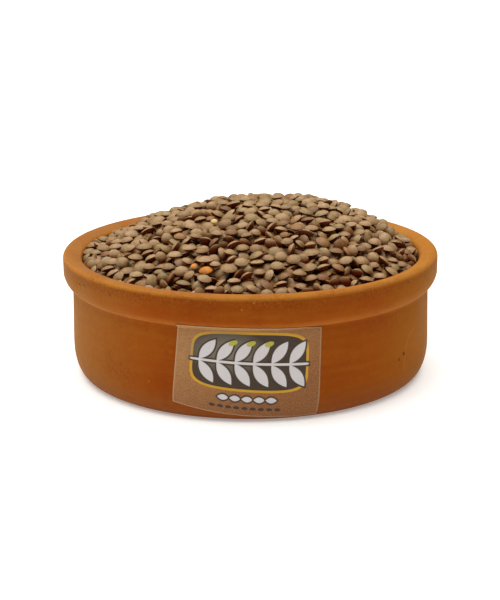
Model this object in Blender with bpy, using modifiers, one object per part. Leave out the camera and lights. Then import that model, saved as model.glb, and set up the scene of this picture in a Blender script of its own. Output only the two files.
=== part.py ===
"""A round terracotta dish heaped with dry brown lentils, with a paper label on its wall.

Metres, +Z up. The origin is the middle of the dish's flat base, and the label faces -Y.
"""

import math
import random

import bmesh
import bpy
from mathutils import Matrix, Vector

MM = 0.001
GAP = 0.3 * MM
DOUBLED = 0.02 * MM
TURN_MERGE = 0.01 * MM

# The dish's outer side. Heights are above the table.
RIM_RADIUS = 87.5 * MM
RIM_TOP = 57.8 * MM
RIM_OUTER_ROUND = 3.6 * MM
BAND_BOTTOM = 48.6 * MM
COVE_POWER = 1.54
CREASE_RADIUS = 83.6 * MM
CREASE_HEIGHT = 41.8 * MM
KNEE_RADIUS = 83.8 * MM
KNEE_HEIGHT = 16.0 * MM
KNEE_POWER = 2.36
BASE_RADIUS = 76.0 * MM

# The dish's inner side. The rim's top slopes inwards to a small round at the mouth.
RIM_SLOPE = math.radians(18)
MOUTH_RADIUS = 79.5 * MM
MOUTH_ROUND = 1.6 * MM
WALL_FOOT_RADIUS = 76.5 * MM
WALL_FOOT_HEIGHT = 24.0 * MM
FLOOR_RADIUS = 60.0 * MM
FLOOR_HEIGHT = 8.0 * MM

DISH_STEPS = 56
CORNER_STEPS = 4
MOUTH_STEPS = 2
CROWN_STEPS = 4
COVE_STEPS = 4
KNEE_STEPS = 7
DISH_SHARP = math.radians(50)
CLAY = (0.36, 0.115, 0.032)
CLAY_ROUGHNESS = 0.85

# The heap of lentils: a low mound whose top lies to the right of the middle.
HEAP_EDGE = 55.5 * MM
HEAP_RISE = 23.6 * MM
HEAP_POWER = 2.1
HEAP_SHIFT = 18.8 * MM
CORE_DEPTH = 1.6 * MM
CORE_STEPS = 24
CORE_RINGS = 5
CORE_TOP_BAND = 0.1 * MM
HEAP_SLOPE_STEP = 1.0 * MM

LENTIL_COUNT = 278
LENTIL_RADIUS = 3.05 * MM
LENTIL_HALF_THICKNESS = 1.35 * MM
LENTIL_DEPTH = 1.0 * MM
LENTIL_SIDES = 8
LENTIL_RINGS = 2
LENTIL_SIZE_SPREAD = 0.12
LENTIL_TILT = math.radians(38)
LENTIL_SHUFFLE = 0.9 * MM
WALL_CLEARANCE = 0.7 * MM
GOLDEN_TURN = math.pi * (3 - math.sqrt(5))
SEED = 11
LENTIL_SHARP = math.radians(55)
LENTIL_COAT = (0.30, 0.19, 0.105)
LENTIL_ROUGHNESS = 0.6

# The paper label. Each corner is an angle from -Y, towards +X, and a height up the wall.
LABEL_LEFT_TOP = (-21.5, 43.6 * MM)
LABEL_RIGHT_TOP = (21.0, 41.9 * MM)
LABEL_LEFT_FOOT = (-23.8, 8.2 * MM)
LABEL_RIGHT_FOOT = (20.2, 2.0 * MM)
LABEL_TOP_BOW = 0.7 * MM
LABEL_FOOT_BOW = -1.9 * MM
LABEL_THICKNESS = 0.35 * MM
LABEL_COLUMNS = 10
LABEL_ROWS = 9
LABEL_ROW_POWER = 1.35
LABEL_LOWEST = 1.6 * MM
LABEL_SLOPE_STEP = 0.4 * MM
PAPER = (0.33, 0.18, 0.085)
PAPER_ROUGHNESS = 0.75


def make_material(name, colour, roughness):
    """A plain Principled material."""
    material = bpy.data.materials.new(name)
    material.use_nodes = True
    shader = material.node_tree.nodes["Principled BSDF"]
    shader.inputs["Base Color"].default_value = (*colour, 1.0)
    shader.inputs["Roughness"].default_value = roughness
    shader.inputs["Metallic"].default_value = 0.0
    return material


def add_object(name, mesh, collection, material=None):
    """Put a mesh into the scene as an object of this name."""
    part = bpy.data.objects.new(name, mesh)
    collection.objects.link(part)
    if material:
        mesh.materials.append(material)
    return part


def applied_mesh(part):
    """The object's mesh with its modifiers applied."""
    bpy.context.view_layer.update()
    depsgraph = bpy.context.evaluated_depsgraph_get()
    return bpy.data.meshes.new_from_object(part.evaluated_get(depsgraph))


def arc(centre, radii, start, end, steps, power=2.0):
    """Points on a superellipse arc. Angles are in degrees, 0 is outwards and 90 is up."""
    points = []
    for step in range(steps + 1):
        angle = math.radians(start + (end - start) * step / steps)
        across = math.copysign(abs(math.cos(angle)) ** (2 / power), math.cos(angle))
        upward = math.copysign(abs(math.sin(angle)) ** (2 / power), math.sin(angle))
        points.append((centre[0] + radii[0] * across, centre[1] + radii[1] * upward))
    return points


def without_doubles(points):
    """The same outline without points that repeat the one before."""
    kept = points[:1]
    for point in points[1:]:
        if math.dist(point, kept[-1]) > DOUBLED:
            kept.append(point)
    return kept


def inner_outline():
    """Radius and height from the middle of the floor up to the mouth's round."""
    corner = arc((FLOOR_RADIUS, WALL_FOOT_HEIGHT),
                 (WALL_FOOT_RADIUS - FLOOR_RADIUS, WALL_FOOT_HEIGHT - FLOOR_HEIGHT), -90, 0, CORNER_STEPS)
    mouth = (MOUTH_RADIUS, rim_slope_height(MOUTH_RADIUS) - 2 * MOUTH_ROUND)
    return [(0.0, FLOOR_HEIGHT)] + corner + [mouth]


def rim_slope_height(radius):
    """Height of the rim's sloping top at this radius."""
    crown = (RIM_RADIUS - RIM_OUTER_ROUND, RIM_TOP - RIM_OUTER_ROUND)
    tangent = (crown[0] - RIM_OUTER_ROUND * math.sin(RIM_SLOPE),
               crown[1] + RIM_OUTER_ROUND * math.cos(RIM_SLOPE))
    return tangent[1] - (tangent[0] - radius) * math.tan(RIM_SLOPE)


def rim_outline():
    """Over the rim, from the mouth's round to the band's lower end."""
    mouth_centre = (MOUTH_RADIUS + MOUTH_ROUND,
                    rim_slope_height(MOUTH_RADIUS + MOUTH_ROUND) - MOUTH_ROUND / math.cos(RIM_SLOPE))
    slope = math.degrees(RIM_SLOPE)
    mouth = arc(mouth_centre, (MOUTH_ROUND, MOUTH_ROUND), 180, 90 + slope, MOUTH_STEPS)
    crown = arc((RIM_RADIUS - RIM_OUTER_ROUND, RIM_TOP - RIM_OUTER_ROUND),
                (RIM_OUTER_ROUND, RIM_OUTER_ROUND), 90 + slope, 0, CROWN_STEPS)
    return mouth + crown


def outer_outline():
    """Down the outer side, from the band's lower end to the base."""
    cove = arc((CREASE_RADIUS, BAND_BOTTOM), (RIM_RADIUS - CREASE_RADIUS, CREASE_HEIGHT - BAND_BOTTOM),
               0, 90, COVE_STEPS, COVE_POWER)
    knee = arc((BASE_RADIUS, KNEE_HEIGHT), (KNEE_RADIUS - BASE_RADIUS, -KNEE_HEIGHT),
               0, 90, KNEE_STEPS, KNEE_POWER)
    return cove + knee


def turned_mesh(name, outline, steps):
    """A closed turned mesh. The outline runs over the top and down the outer side."""
    profile = bpy.data.meshes.new(name + "_outline")
    links = [(index, index + 1) for index in range(len(outline) - 1)]
    profile.from_pydata([(radius, 0.0, height) for radius, height in outline], links, [])
    holder = add_object(name + "_outline", profile, bpy.context.scene.collection)
    screw = holder.modifiers.new("turn", "SCREW")
    screw.steps = steps
    screw.render_steps = steps
    screw.use_merge_vertices = True
    screw.merge_threshold = TURN_MERGE
    mesh = applied_mesh(holder)
    bpy.data.objects.remove(holder)
    mesh.name = name
    return mesh


def outer_radius(height):
    """Radius of the dish's outer side at this height."""
    outline = without_doubles(outer_outline())
    for (upper_radius, upper), (lower_radius, lower) in zip(outline, outline[1:]):
        if lower <= height <= upper:
            share = (height - lower) / (upper - lower)
            return lower_radius + (upper_radius - lower_radius) * share
    raise ValueError("no outer wall at this height")


def make_dish(collection):
    """The terracotta dish."""
    outline = without_doubles(inner_outline() + rim_outline() + outer_outline() + [(0.0, 0.0)])
    mesh = turned_mesh("bowl", outline, DISH_STEPS)
    mesh.shade_smooth()
    mesh.set_sharp_from_angle(angle=DISH_SHARP)
    clay = make_material("terracotta", CLAY, CLAY_ROUGHNESS)
    return add_object("bowl", mesh, collection, clay)


def heap_height(x, y):
    """Height of the heap's surface over a place in the dish."""
    dx = x - HEAP_SHIFT
    reach = dx * dx + y * y
    if reach == 0.0:
        return HEAP_EDGE + HEAP_RISE
    along = HEAP_SHIFT * dx
    root = math.sqrt(along * along - reach * (HEAP_SHIFT * HEAP_SHIFT - MOUTH_RADIUS * MOUTH_RADIUS))
    share = min(1.0, reach / (root - along))
    return HEAP_EDGE + HEAP_RISE * (1 - share ** HEAP_POWER)


def heap_normal(x, y):
    """Upward direction square to the heap's surface."""
    step = HEAP_SLOPE_STEP
    slope_x = (heap_height(x + step, y) - heap_height(x - step, y)) / (2 * step)
    slope_y = (heap_height(x, y + step) - heap_height(x, y - step)) / (2 * step)
    return Vector((-slope_x, -slope_y, 1.0)).normalized()


def inner_radius(height):
    """Radius of the dish's inner wall at this height, above the corner."""
    share = (height - WALL_FOOT_HEIGHT) / (inner_outline()[-1][1] - WALL_FOOT_HEIGHT)
    return WALL_FOOT_RADIUS + (MOUTH_RADIUS - WALL_FOOT_RADIUS) * min(share, 1.0)


def make_core(collection):
    """The heap's inside: it fills the dish and stops a little under the lentils' tops."""
    side = GAP / math.cos(math.pi / CORE_STEPS)
    top = HEAP_EDGE - CORE_DEPTH
    rings = []
    for ring in range(CORE_RINGS):
        rings.append(((inner_radius(top) - side) * ring / CORE_RINGS, top))
    wall = [(inner_radius(top) - side, top)]
    for radius, height in reversed(inner_outline()[:-1:2]):
        wall.append((max(0.0, radius - side), height + GAP))
    mesh = turned_mesh("lentils", without_doubles(rings + wall), CORE_STEPS)
    for vertex in mesh.vertices:
        if vertex.co.z > top - CORE_TOP_BAND:
            vertex.co.z = heap_height(vertex.co.x, vertex.co.y) - CORE_DEPTH
    return add_object("lentils", mesh, collection)


def lentil_mesh():
    """One lentil: a round lens of unit radius and unit half thickness, with a thin edge."""
    shape = bmesh.new()
    bmesh.ops.create_uvsphere(shape, u_segments=LENTIL_SIDES, v_segments=LENTIL_RINGS, radius=1.0)
    mesh = bpy.data.meshes.new("lentil")
    shape.to_mesh(mesh)
    shape.free()
    return mesh


def lentil_places():
    """Where each lentil lies: an even spiral over the heap, shuffled and tipped by a seeded rule."""
    draw = random.Random(SEED)
    reach = MOUTH_RADIUS - LENTIL_RADIUS - WALL_CLEARANCE
    places = []
    for index in range(LENTIL_COUNT):
        radius = reach * math.sqrt((index + 0.5) / LENTIL_COUNT)
        x = radius * math.cos(index * GOLDEN_TURN) + draw.uniform(-LENTIL_SHUFFLE, LENTIL_SHUFFLE)
        y = radius * math.sin(index * GOLDEN_TURN) + draw.uniform(-LENTIL_SHUFFLE, LENTIL_SHUFFLE)
        size = 1 + draw.uniform(-LENTIL_SIZE_SPREAD, LENTIL_SIZE_SPREAD)
        tip = LENTIL_TILT * draw.random()
        tip_way = draw.uniform(0, 2 * math.pi)
        spin = draw.uniform(0, 2 * math.pi)
        out = math.hypot(x, y)
        limit = reach - (size - 1) * LENTIL_RADIUS
        if out > limit:
            x, y = x * limit / out, y * limit / out
        centre = Vector((x, y, heap_height(x, y) - LENTIL_DEPTH))
        lie = Vector((0, 0, 1)).rotation_difference(heap_normal(x, y)).to_matrix().to_4x4()
        lean = Matrix.Rotation(tip, 4, (math.cos(tip_way), math.sin(tip_way), 0))
        scale = Matrix.Diagonal((LENTIL_RADIUS * size, LENTIL_RADIUS * size, LENTIL_HALF_THICKNESS * size, 1))
        places.append(Matrix.Translation(centre) @ lie @ lean @ Matrix.Rotation(spin, 4, "Z") @ scale)
    return places


def keep_largest_shell(mesh):
    """Drop loose scraps and fill sealed hollows: only the largest shell stays."""
    shape = bmesh.new()
    shape.from_mesh(mesh)
    unseen = set(shape.verts)
    shells = []
    while unseen:
        shell = {unseen.pop()}
        edge_of_shell = list(shell)
        while edge_of_shell:
            vertex = edge_of_shell.pop()
            for link in vertex.link_edges:
                other = link.other_vert(vertex)
                if other in unseen:
                    unseen.remove(other)
                    shell.add(other)
                    edge_of_shell.append(other)
        shells.append(shell)
    shells.sort(key=len)
    for shell in shells[:-1]:
        bmesh.ops.delete(shape, geom=list(shell), context="VERTS")
    shape.to_mesh(mesh)
    shape.free()


def make_heap(collection):
    """The lentils' core with lentils fused on."""
    core = make_core(collection)
    grains = bpy.data.collections.new("lentil_grains")
    bpy.context.scene.collection.children.link(grains)
    lentil = lentil_mesh()
    for index, place in enumerate(lentil_places()):
        grain = add_object(f"grain_{index:03d}", lentil, grains)
        grain.matrix_world = place
    union = core.modifiers.new("fuse", "BOOLEAN")
    union.operation = "UNION"
    union.operand_type = "COLLECTION"
    union.collection = grains
    union.solver = "MANIFOLD"
    mesh = applied_mesh(core)
    keep_largest_shell(mesh)
    core.modifiers.clear()
    core.data = mesh
    for grain in list(grains.objects):
        bpy.data.objects.remove(grain)
    bpy.data.collections.remove(grains)
    mesh.materials.clear()
    mesh.materials.append(make_material("dry_lentil", LENTIL_COAT, LENTIL_ROUGHNESS))
    mesh.shade_smooth()
    mesh.set_sharp_from_angle(angle=LENTIL_SHARP)
    return core


def label_point(across, up):
    """A point of the label's back face. Both arguments run from 0 to 1."""
    bulge = 4 * across * (1 - across)
    foot = LABEL_LEFT_FOOT[1] + (LABEL_RIGHT_FOOT[1] - LABEL_LEFT_FOOT[1]) * across + LABEL_FOOT_BOW * bulge
    head = LABEL_LEFT_TOP[1] + (LABEL_RIGHT_TOP[1] - LABEL_LEFT_TOP[1]) * across + LABEL_TOP_BOW * bulge
    height = max(foot + (head - foot) * up, LABEL_LOWEST)
    left = LABEL_LEFT_FOOT[0] + (LABEL_LEFT_TOP[0] - LABEL_LEFT_FOOT[0]) * up
    right = LABEL_RIGHT_FOOT[0] + (LABEL_RIGHT_TOP[0] - LABEL_RIGHT_FOOT[0]) * up
    angle = math.radians(left + (right - left) * across)
    step = LABEL_SLOPE_STEP
    rise = outer_radius(height + step) - outer_radius(height - step)
    out = Vector((2 * step, -rise)).normalized()
    radius = outer_radius(height) + GAP * out.x
    return Vector((radius * math.sin(angle), -radius * math.cos(angle), height + GAP * out.y))


def make_label(collection):
    """The paper label: a thin sheet that follows the wall and the lower curve."""
    shape = bmesh.new()
    bmesh.ops.create_grid(shape, x_segments=LABEL_COLUMNS, y_segments=LABEL_ROWS, size=0.5)
    for vertex in shape.verts:
        vertex.co = label_point(vertex.co.x + 0.5, max(0.0, vertex.co.y + 0.5) ** LABEL_ROW_POWER)
    bmesh.ops.recalc_face_normals(shape, faces=shape.faces)
    if shape.faces[:][0].normal.y > 0:
        bmesh.ops.reverse_faces(shape, faces=shape.faces)
    mesh = bpy.data.meshes.new("label")
    shape.to_mesh(mesh)
    shape.free()
    paper = make_material("kraft_paper", PAPER, PAPER_ROUGHNESS)
    label = add_object("label", mesh, collection, paper)
    sheet = label.modifiers.new("sheet", "SOLIDIFY")
    sheet.thickness = LABEL_THICKNESS
    sheet.offset = 1.0
    mesh.shade_smooth()
    return label


def main():
    for leftover in list(bpy.data.objects):
        bpy.data.objects.remove(leftover)
    collection = bpy.data.collections.new("bowl_of_lentils")
    bpy.context.scene.collection.children.link(collection)
    make_dish(collection)
    make_heap(collection)
    make_label(collection)


main()
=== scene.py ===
"""A terracotta dish heaped with dry brown lentils, with a printed kraft paper label.

Laid out as an add-on and run as a script. Every piece is made by an operator in the
Lentils tab of the 3D view's sidebar. Metres, +Z up, and the label faces -Y.
"""

import math

import bmesh
import bpy
import numpy as np
from bpy.props import FloatProperty, FloatVectorProperty, IntProperty, PointerProperty
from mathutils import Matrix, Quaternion, Vector


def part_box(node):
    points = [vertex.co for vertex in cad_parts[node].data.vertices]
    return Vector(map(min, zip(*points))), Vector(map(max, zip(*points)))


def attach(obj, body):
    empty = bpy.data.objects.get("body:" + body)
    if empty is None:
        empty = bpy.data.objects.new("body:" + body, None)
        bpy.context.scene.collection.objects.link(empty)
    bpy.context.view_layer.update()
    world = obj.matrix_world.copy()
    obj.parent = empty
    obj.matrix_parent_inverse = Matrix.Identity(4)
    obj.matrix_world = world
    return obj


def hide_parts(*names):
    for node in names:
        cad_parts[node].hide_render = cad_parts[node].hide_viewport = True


bl_info = {
    "name": "Bowl of Dry Lentils",
    "version": (1, 0, 0),
    "blender": (4, 5, 0),
    "location": "View3D > Sidebar > Lentils",
    "description": "Builds a terracotta dish heaped with dry lentils, on a studio floor",
    "category": "Add Mesh",
}

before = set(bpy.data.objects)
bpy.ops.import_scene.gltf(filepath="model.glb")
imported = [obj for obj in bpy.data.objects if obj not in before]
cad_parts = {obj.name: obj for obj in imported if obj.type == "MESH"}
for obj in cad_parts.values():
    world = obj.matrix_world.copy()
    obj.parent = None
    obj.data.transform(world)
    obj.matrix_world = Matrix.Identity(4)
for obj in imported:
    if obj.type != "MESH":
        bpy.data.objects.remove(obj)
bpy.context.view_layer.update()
DISH_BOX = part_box("bowl")
MM = 0.001

# The picture is 500 pixels wide and 600 high; the camera's sensor is measured along its height.
VIEW_HEIGHT_PIXELS = 600
SENSOR_MM = 36.0


def length(name, description, default, **limits):
    """A property that holds a length in metres."""
    return FloatProperty(name=name, description=description, default=default, unit="LENGTH",
                         subtype="DISTANCE", precision=5, **limits)


def angle(name, description, degrees):
    """A property that holds an angle."""
    return FloatProperty(name=name, description=description, default=math.radians(degrees),
                         unit="ROTATION", subtype="ANGLE")


def number(name, description, default, **limits):
    """A property that holds a plain number."""
    return FloatProperty(name=name, description=description, default=default, precision=4, **limits)


def screen_colour(red, green, blue):
    """A colour as it looks on a screen, 0 to 255, as linear values."""
    return tuple(((part / 255 + 0.055) / 1.055) ** 2.4 if part > 10 else part / 255 / 12.92
                 for part in (red, green, blue))


def colour(name, description, red, green, blue):
    """A property that holds a colour, given as it looks on a screen, 0 to 255."""
    return FloatVectorProperty(name=name, description=description, subtype="COLOR", size=3,
                               default=screen_colour(red, green, blue), min=0.0, max=1.0)


def corner(name, degrees, height):
    """A property that holds a corner of the label."""
    return FloatVectorProperty(name=name, description="Angle in degrees and height in metres",
                               default=(degrees, height), size=2, precision=5)


class DishSettings(bpy.types.PropertyGroup):
    """Sizes and colours of the terracotta dish."""
    rim_radius: length("Rim radius", "Outer radius of the rim's band", DISH_BOX[1].x)
    rim_top: length("Rim top", "Height of the rim over the table", DISH_BOX[1].z)
    rim_round: length("Rim round", "Radius of the rim's outer edge", 2.7 * MM)
    rim_slope: angle("Rim slope", "How far the rim's top slopes inwards", 18)
    mouth_radius: length("Mouth radius", "Inner radius at the mouth", 78.8 * MM)
    mouth_round: length("Mouth round", "Radius of the mouth's edge", 3.2 * MM)
    band_foot: length("Band foot", "Height where the rim's upright band ends", 48.6 * MM)
    cove_power: number("Cove power", "Fullness of the cove under the band", 1.54)
    crease_radius: length("Crease radius", "Radius where the cove meets the wall", 83.6 * MM)
    crease_height: length("Crease height", "Height where the cove meets the wall", 42.4 * MM)
    knee_radius: length("Knee radius", "Radius of the wall over the rounded foot", 83.8 * MM)
    knee_height: length("Knee height", "Height where the foot starts to round", 16.0 * MM)
    knee_power: number("Knee power", "Fullness of the rounded foot", 2.36)
    base_radius: length("Base radius", "Radius of the flat base", 76.0 * MM)
    floor_radius: length("Floor radius", "Radius of the flat floor inside", 60.0 * MM)
    floor_height: length("Floor height", "Height of the floor inside", 8.0 * MM)
    wall_foot_radius: length("Wall foot radius", "Inner radius over the floor's corner", 76.5 * MM)
    wall_foot_height: length("Wall foot height", "Height where the inner corner ends", 24.0 * MM)
    steps: IntProperty(name="Steps", description="Facets round the dish", default=360, min=24)
    wobble: length("Wobble", "Unevenness of the hand-thrown form", 0.16 * MM)
    lines: length("Turning lines", "Depth of the turning lines", 0.05 * MM)
    clay: colour("Clay", "Main colour of the fired clay", 146, 69, 7)
    clay_deep: colour("Deep clay", "Redder, darker patches", 136, 59, 5)
    clay_pale: colour("Pale clay", "Dusty, yellower patches", 158, 96, 28)
    # Pale dust, and also a painted highlight where the dish faces up.
    clay_dust_and_highlight: colour("Clay dust", "Pale dust on the rim's top", 168, 111, 46)
    # Painted reflection: yellower clay at the right side.
    clay_gold_reflection: colour("Golden clay", "Yellower clay at the right side", 156, 103, 12)
    # Painted reflection: duller, paler clay at the left side.
    clay_olive_reflection: colour("Olive clay", "Duller clay at the left side", 149, 100, 40)
    # Rubbed clay, and also a painted highlight, on the rim's rounded edges.
    clay_rubbed_and_highlight: colour("Rubbed clay", "Paler clay on the rim's outer edge", 188, 120, 40)
    # Browner dust, and also a painted highlight, where the rim faces up on its left.
    clay_rose_dust_and_highlight: colour("Rosy clay", "Browner dust on the left of the rim", 150, 101, 52)
    # Painted reflection of the floor: paler clay at the foot.
    clay_foot_reflection: colour("Ashy clay", "Paler clay at the foot", 138, 88, 52)
    # Painted highlight where the rim's cove meets the wall.
    clay_crease_highlight: colour("Clay lip", "Rubbed clay where the rim's cove meets the wall", 172, 108, 42)
    # Dark grit in the clay; also the colour of the painted shade under the rim's shoulder.
    clay_grit_and_shade: colour("Clay grit", "Dark grit in the clay", 96, 42, 10)
    clay_pit: colour("Clay pit", "The darkest pits in the wall", 58, 24, 8)


class HeapSettings(bpy.types.PropertyGroup):
    """Sizes and colours of the heap of lentils."""
    edge: length("Edge", "Height of the heap at the dish's wall", 54.8 * MM)
    rise: length("Rise", "How far the heap's top rises over its edge", 24.3 * MM)
    power: number("Power", "Roundness of the heap", 2.25)
    shift: length("Shift", "How far the heap's top lies to the right", 18.8 * MM)
    wall_swell: length("Wall swell", "How much higher the heap lies right at the wall", 0.6 * MM)
    bed_depth: length("Bed depth", "How far the bed lies under the heap's surface", 9.0 * MM)
    grain_radius: length("Lentil radius", "Mean radius of a lentil", 3.3 * MM)
    grain_half: length("Lentil half thickness", "Mean half thickness of a lentil", 1.58 * MM)
    size_spread: number("Size spread", "How much the lentils differ in size", 0.09)
    follow: number("Follow", "How much of the heap's slope a lentil takes on", 0.08)
    lean: angle("Lean", "How far a lentil commonly leans", 42)
    upright: number("Upright", "Share of lentils that stand on edge", 0.22)
    nestle: number("Nestle", "Share of a lentil's radius that keeps its neighbours off", 0.93)
    upright_wall: number("Upright at the wall", "Share that stands on edge at the wall", 0.45)
    proud: length("Proud", "How far a lentil may stand over the heap's surface", 1.5 * MM)
    filler_depth: length("Filler depth", "How far down the filling layer lies", 5.4 * MM)
    filler_step: length("Filler step", "Spacing of the lentils in the filling layer", 4.8 * MM)
    cell: length("Cell", "Grid step of the height map on which lentils settle", 0.45 * MM)
    seed: IntProperty(name="Seed", description="Seed of every random draw", default=21)
    most: IntProperty(name="Most lentils", description="Upper limit on lentils", default=2600)
    patience: IntProperty(name="Patience", description="Misses in a row that end it", default=700)
    sides: IntProperty(name="Sides", description="Sides of one lentil", default=10, min=6)
    rings: IntProperty(name="Rings", description="Rings of one lentil", default=6, min=4)
    # Painted shade: the bed's dark colour stands for the shaded lentils deep in the heap.
    bed: colour("Bed", "The dark bed under the lentils", 46, 18, 5)
    bed_steps: IntProperty(name="Bed steps", description="Facets round the bed", default=96, min=24)


class LabelSettings(bpy.types.PropertyGroup):
    """Place, size and colours of the paper label."""
    left_top: corner("Left top", -21.5, 43.6 * MM)
    right_top: corner("Right top", 21.0, 41.9 * MM)
    left_foot: corner("Left foot", -23.8, 8.2 * MM)
    right_foot: corner("Right foot", 20.2, 2.0 * MM)
    top_bow: length("Top bow", "How far the upper edge bows up", 0.7 * MM)
    foot_bow: length("Foot bow", "How far the lower edge bows down", 1.9 * MM)
    lift: length("Lift", "Gap between the dish and the paper", 0.15 * MM)
    thickness: length("Thickness", "Thickness of the paper", 0.16 * MM)
    buckle: length("Buckle", "Depth of the paper's slight waves", 0.10 * MM)
    columns: IntProperty(name="Columns", description="Faces across", default=90, min=8)
    lines: IntProperty(name="Lines", description="Faces from foot to top", default=70, min=8)
    print_height: length("Print height", "The label's height, for the print's scale", 41.0 * MM)
    kraft: colour("Kraft", "Colour of the bare paper", 176, 130, 82)
    kraft_deep: colour("Deep kraft", "Darker fibres of the paper", 142, 92, 42)
    kraft_browner: colour("Burnt kraft", "Browner paper towards the lower right", 124, 68, 20)
    kraft_edge: colour("Kraft edge", "Pale cut edge of the paper", 196, 160, 124)
    panel: colour("Panel", "Dark ground of the printed panel", 60, 46, 34)
    panel_glow: colour("Panel glow", "Lighter patch of the printed panel", 112, 104, 88)
    gold: colour("Gold", "Printed border", 198, 148, 30)
    cream: colour("Cream", "Printed leaves", 205, 200, 200)
    pod: colour("Pod", "Printed pods", 176, 168, 60)


class StageSettings(bpy.types.PropertyGroup):
    """Camera, floor and lights."""
    aim_height: length("Aim height", "Height of the point that the camera faces", 29.75 * MM)
    distance: length("Distance", "Camera to that point", 0.70)
    elevation: angle("Elevation", "Camera's angle over the horizon", 16.02)
    roll: angle("Roll", "Turn of the camera about its own axis", -0.32)
    focal_pixels: number("Focal length", "Focal length in pixels of the picture", 1473.6)
    aim_right: number("Aim right", "Pixels from the picture's middle to the aim point", 0.54)
    aim_down: number("Aim down", "Pixels from the picture's middle to the aim point", 3.12)
    floor: colour("Floor", "The studio floor", 236, 236, 234)
    floor_half: length("Floor half width", "Half the width of the square floor", 4.0)
    floor_glow: number("Floor glow", "How much the floor glows, as a lit white table does", 0.35)
    sky: number("Sky", "Strength of the even light from all round", 0.06)
    sky_colour: FloatVectorProperty(name="Sky colour", description="Warm tint of the even light",
                                    default=(1.0, 0.78, 0.5), subtype="COLOR", size=3)
    top_light: number("Top light", "Power of the wide light overhead", 128.0)
    side_light: number("Side light", "Power of the tall light at the left", 4.0)


def settings(name):
    """One of this script's property groups."""
    return getattr(bpy.context.scene, name)


class Recipe:
    """Adds nodes to a tree and wires them, so that a material reads from top to bottom."""

    def __init__(self, tree):
        self.tree = tree

    def add(self, kind, *sources, **fields):
        """A node of this kind. Sources feed its inputs in order; None leaves an input alone."""
        node = self.tree.nodes.new(kind)
        for field, value in fields.items():
            setattr(node, field, value)
        for socket, source in zip(node.inputs, sources):
            self.feed(socket, source)
        return node

    def feed(self, socket, source):
        """Wire a socket, or set its value."""
        if source is None:
            return
        if isinstance(source, bpy.types.NodeSocket):
            self.tree.links.new(source, socket)
        else:
            socket.default_value = source

    def math(self, operation, *sources):
        """A Math node's result."""
        return self.add("ShaderNodeMath", *sources, operation=operation).outputs[0]

    def plus(self, *sources):
        """The sum of two numbers."""
        return self.math("ADD", *sources)

    def minus(self, *sources):
        """The first number less the second."""
        return self.math("SUBTRACT", *sources)

    def times(self, *sources):
        """The product of two numbers."""
        return self.math("MULTIPLY", *sources)

    def vector(self, operation, *sources):
        """A Vector Math node's result: a number for a distance or a dot product, or a vector."""
        outputs = self.add("ShaderNodeVectorMath", *sources, operation=operation).outputs
        return outputs["Value" if operation in ("DISTANCE", "DOT_PRODUCT") else "Vector"]

    def axes(self, vector):
        """The outputs X, Y and Z of a vector."""
        return self.add("ShaderNodeSeparateXYZ", vector).outputs

    def attribute(self, name):
        """A number that the mesh stores."""
        return self.add("ShaderNodeAttribute", attribute_name=name).outputs["Fac"]

    def coordinates(self, kind):
        """The shaded place, in the piece's own space or on its UV map."""
        return self.add("ShaderNodeTexCoord").outputs[kind]

    def noise(self, vector, scale, detail=2.0, roughness=0.5):
        """A Noise Texture's grey value."""
        node = self.add("ShaderNodeTexNoise")
        self.feed(node.inputs["Vector"], vector)
        node.inputs["Scale"].default_value = scale
        node.inputs["Detail"].default_value = detail
        node.inputs["Roughness"].default_value = roughness
        return node.outputs[0]

    def spread(self, value, low, high, to_low=0.0, to_high=1.0):
        """Map a range of a value to another range, and clamp it."""
        node = self.add("ShaderNodeMapRange")
        for socket, source in zip(node.inputs[:5], (value, low, high, to_low, to_high)):
            self.feed(socket, source)
        return node.outputs[0]

    def mix(self, share, first, second, blend="MIX"):
        """Two colours mixed by a share."""
        node = self.add("ShaderNodeMix", data_type="RGBA", blend_type=blend)
        self.feed(node.inputs["Factor"], share)
        for index, source in ((6, first), (7, second)):
            wired = isinstance(source, bpy.types.NodeSocket)
            self.feed(node.inputs[index], source if wired else (*source, 1.0))
        return node.outputs[2]


def new_material(name, roughness, specular):
    """A material with a Principled shader, and the recipe that feeds it."""
    material = bpy.data.materials.new(name)
    material.use_nodes = True
    shader = material.node_tree.nodes["Principled BSDF"]
    shader.inputs["Roughness"].default_value = roughness
    shader.inputs["Specular IOR Level"].default_value = specular
    return material, shader, Recipe(material.node_tree)


def bump(recipe, shader, height, distance, strength=1.0):
    """Fine relief that is too small for the mesh."""
    node = recipe.add("ShaderNodeBump")
    node.inputs["Strength"].default_value = strength
    node.inputs["Distance"].default_value = distance
    recipe.feed(node.inputs["Height"], height)
    recipe.feed(shader.inputs["Normal"], node.outputs[0])


def new_tree(name, sockets):
    """A Geometry Nodes tree with a geometry in and out, and named inputs."""
    tree = bpy.data.node_groups.new(name, "GeometryNodeTree")
    tree.interface.new_socket("Geometry", in_out="INPUT", socket_type="NodeSocketGeometry")
    for label, kind in sockets:
        tree.interface.new_socket(label, in_out="INPUT", socket_type="NodeSocket" + kind)
    tree.interface.new_socket("Geometry", in_out="OUTPUT", socket_type="NodeSocketGeometry")
    inputs = tree.nodes.new("NodeGroupInput").outputs
    return Recipe(tree), inputs, tree.nodes.new("NodeGroupOutput").inputs


def push_out(recipe, geometry, amount):
    """Move a mesh's points along their normals."""
    worn = recipe.add("GeometryNodeSetPosition", geometry)
    normal = recipe.add("GeometryNodeInputNormal").outputs[0]
    recipe.feed(worn.inputs["Offset"], recipe.vector("SCALE", normal, None, None, amount))
    return worn.outputs[0]


def store_up(recipe, geometry, domain):
    """Store how far a mesh faces up, for its material."""
    facing = recipe.add("GeometryNodeStoreNamedAttribute", geometry, data_type="FLOAT",
                        domain=domain)
    facing.inputs["Name"].default_value = "up"
    normal = recipe.add("GeometryNodeInputNormal").outputs[0]
    recipe.feed(facing.inputs["Value"], recipe.axes(normal)["Z"])
    return facing.outputs[0]


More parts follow.
